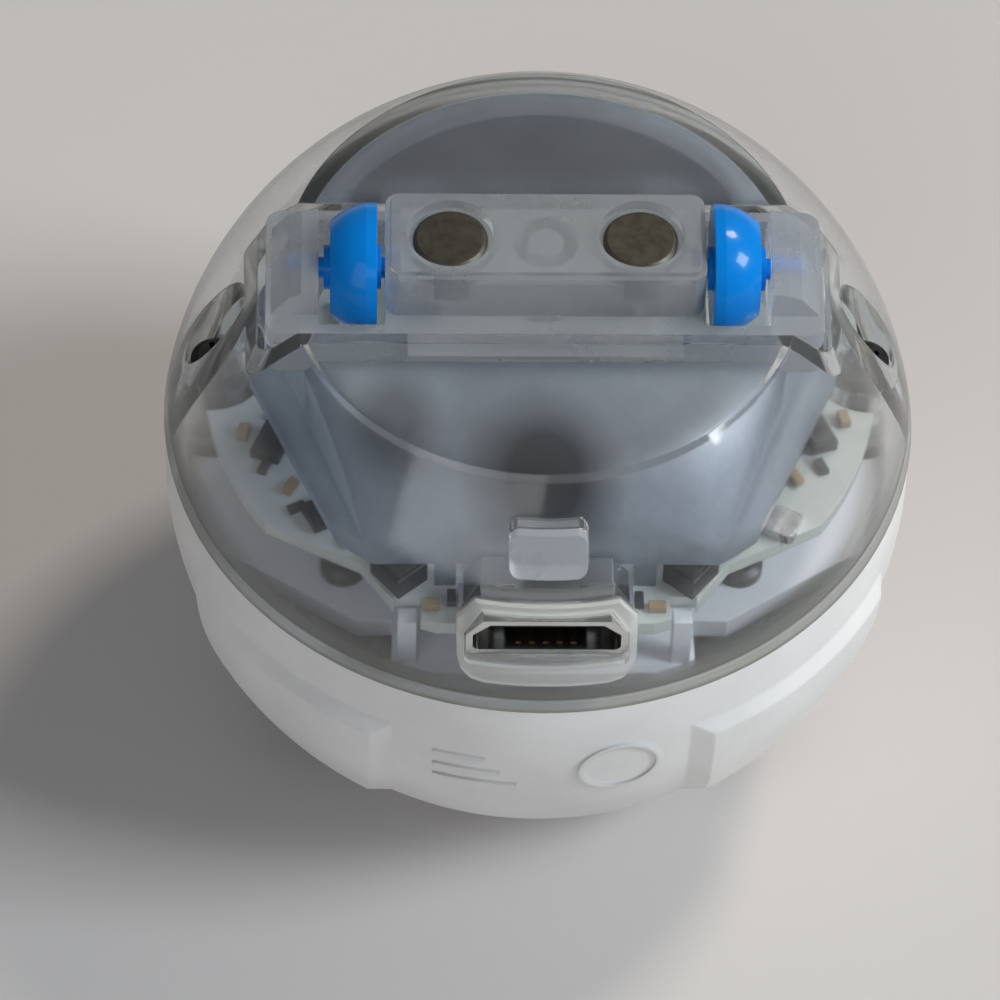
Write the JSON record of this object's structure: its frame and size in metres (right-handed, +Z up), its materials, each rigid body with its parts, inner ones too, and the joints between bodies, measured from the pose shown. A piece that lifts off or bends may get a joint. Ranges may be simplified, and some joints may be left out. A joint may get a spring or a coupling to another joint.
{
  "type": "educational coding robot",
  "caption": "Ball-shaped coding robot core: clear domed cover over a circuit board, white lower housing with drive wheels, sprung idler carriage with magnets and a charging port.",
  "frame": {"origin": "centre of the ball that the drive core rolls inside, which is also the centre of the round cover and housing", "axes": "+Z up out of the flat top of the cover, +X along the wheel axles towards the right-hand wheels, -Y out of the charging port"},
  "size_m": [0.0364, 0.0364, 0.033],
  "materials": {
    "clear_cover": "clear moulded polycarbonate",
    "clear_carriage": "clear moulded plastic, lightly frosted on top",
    "white_shell": "satin white moulded plastic",
    "frosted_hood": "frosted translucent plastic",
    "light_pipe": "milky translucent plastic",
    "white_inner": "white moulded plastic",
    "steel_pin": "ground steel",
    "spring_steel": "dark spring wire",
    "magnet": "dark nickel plating",
    "blue_wheel": "glossy blue moulded plastic",
    "screw_steel": "zinc plated",
    "board": "white solder mask over glass fibre",
    "usb_metal": "nickel plated sheet",
    "black_plastic": "black moulded plastic",
    "gold": "gold plated contacts",
    "chip_black": "black moulding compound",
    "radio_can": "tinned screening can",
    "crystal_can": "nickel lid",
    "ferrite": "dark ferrite",
    "led": "white package with yellow phosphor",
    "capacitor": "tan ceramic",
    "resistor": "black glazed ceramic",
    "battery_foil": "silver pouch foil",
    "red_lead": "red insulation",
    "black_lead": "black insulation",
    "motor_lead": "blue insulation",
    "drive_frame": "pale moulded plastic",
    "ballast": "plain cast weight",
    "motor_can": "drawn steel can",
    "pinion_brass": "machined brass",
    "white_gear": "natural acetal",
    "blue_hub": "glossy blue moulded plastic",
    "foam": "dark open-cell foam",
    "tyre_rubber": "soft dark rubber"
  },
  "bodies": {
    "chassis": {"top_cover": "clear_cover", "lower_housing": "white_shell", "light_diffuser": "frosted_hood", "foam_pad": "foam", "light_pipe": "light_pipe", "mid_frame": "white_inner", "mast_pin": "steel_pin", "carriage_spring": "spring_steel", "cover_screws": "screw_steel", "frame_screws": "screw_steel", "board_screws": "screw_steel", "main_board": "board", "usb_shell": "usb_metal", "usb_tongue": "black_plastic", "usb_contacts": "gold", "processor_chip": "chip_black", "memory_chip": "chip_black", "radio_module": "radio_can", "driver_chips": "chip_black", "charger_chip": "chip_black", "motion_sensor": "chip_black", "crystal": "crystal_can", "inductor": "ferrite", "status_leds": "led", "capacitors": "capacitor", "resistors": "resistor", "battery_connector": "black_plastic", "battery": "battery_foil", "lead_red": "red_lead", "lead_black": "black_lead", "motor_leads": "motor_lead", "drive_frame": "drive_frame", "ballast": "ballast", "motor_left": "motor_can", "motor_right": "motor_can", "motor_caps": "black_plastic", "gear_shafts": "steel_pin"},
    "carriage": {"idler_carriage": "clear_carriage", "magnet_left": "magnet", "magnet_right": "magnet"},
    "idler_left": {"idler_left": "blue_wheel"},
    "idler_right": {"idler_right": "blue_wheel"},
    "drive_left": {"wheel_gear_left": "white_gear", "axle_left": "steel_pin", "hub_left": "blue_hub", "tyre_left": "tyre_rubber"},
    "drive_right": {"wheel_gear_right": "white_gear", "axle_right": "steel_pin", "hub_right": "blue_hub", "tyre_right": "tyre_rubber"},
    "gear_left": {"gear_left": "white_gear"},
    "gear_right": {"gear_right": "white_gear"},
    "pinion_left": {"pinion_left": "pinion_brass", "motor_shaft_left": "steel_pin"},
    "pinion_right": {"pinion_right": "pinion_brass", "motor_shaft_right": "steel_pin"}
  },
  "joints": [
    {"name": "carriage_slide", "type": "slide", "parent": "chassis", "child": "carriage", "axis": [0, 0, 1], "range_m": [-0.0012, 0], "stiffness_N_per_m": 180, "springref_m": 0.001, "deforming": ["carriage_spring"]},
    {"name": "idler_left_spin", "type": "hinge", "parent": "carriage", "child": "idler_left", "pos_m": [-0.009, 0, 0.01375], "axis": [1, 0, 0], "continuous": true},
    {"name": "idler_right_spin", "type": "hinge", "parent": "carriage", "child": "idler_right", "pos_m": [0.009, 0, 0.01375], "axis": [1, 0, 0], "continuous": true},
    {"name": "drive_left_spin", "type": "hinge", "parent": "chassis", "child": "drive_left", "pos_m": [-0.0106, 0, -0.00975], "axis": [1, 0, 0], "continuous": true},
    {"name": "gear_left_spin", "type": "hinge", "parent": "chassis", "child": "gear_left", "pos_m": [-0.008, 0.0036, -0.00495], "axis": [1, 0, 0], "continuous": true},
    {"name": "pinion_left_spin", "type": "hinge", "parent": "chassis", "child": "pinion_left", "pos_m": [-0.007, 0.0072, -0.00856], "axis": [1, 0, 0], "continuous": true},
    {"name": "drive_right_spin", "type": "hinge", "parent": "chassis", "child": "drive_right", "pos_m": [0.0106, 0, -0.00975], "axis": [1, 0, 0], "continuous": true},
    {"name": "gear_right_spin", "type": "hinge", "parent": "chassis", "child": "gear_right", "pos_m": [0.008, -0.0036, -0.00495], "axis": [1, 0, 0], "continuous": true},
    {"name": "pinion_right_spin", "type": "hinge", "parent": "chassis", "child": "pinion_right", "pos_m": [0.007, -0.0072, -0.00856], "axis": [1, 0, 0], "continuous": true}
  ],
  "couplings": [
    {"joint": "gear_left_spin", "follows": "drive_left_spin", "ratio": -3},
    {"joint": "pinion_left_spin", "follows": "drive_left_spin", "ratio": 7.2},
    {"joint": "gear_right_spin", "follows": "drive_right_spin", "ratio": -3},
    {"joint": "pinion_right_spin", "follows": "drive_right_spin", "ratio": 7.2}
  ]
}
